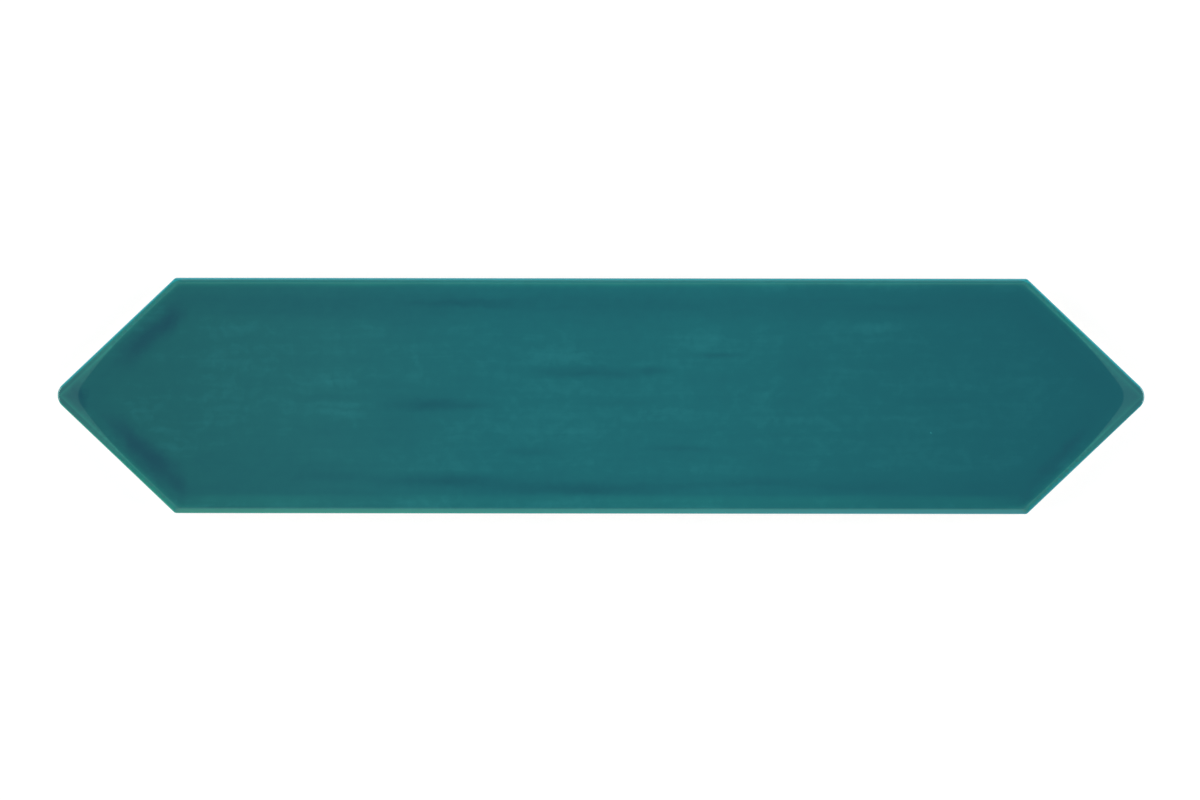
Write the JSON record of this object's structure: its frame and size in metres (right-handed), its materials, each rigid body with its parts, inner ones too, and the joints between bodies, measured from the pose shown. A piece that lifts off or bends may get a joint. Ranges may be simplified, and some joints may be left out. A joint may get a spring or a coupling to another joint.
{
  "type": "picket tile",
  "caption": "Long glazed ceramic wall tile with two parallel edges and a rounded point at each end, a sloping margin round its glossy face and a ribbed back for adhesive.",
  "frame": {"origin": "middle of the back, on the plane of its ribs", "axes": "+X along the tile towards one point, +Y across the long edges, +Z out of the glazed face"},
  "size_m": [0.3, 0.065, 0.009],
  "materials": {
    "glazed_tile": "gloss teal glaze with faint lengthwise streaks, paler over the edges; bare off-white fired body on the lower sides and the back"
  },
  "bodies": {
    "root": {"picket_tile": "glazed_tile"}
  },
  "joints": []
}
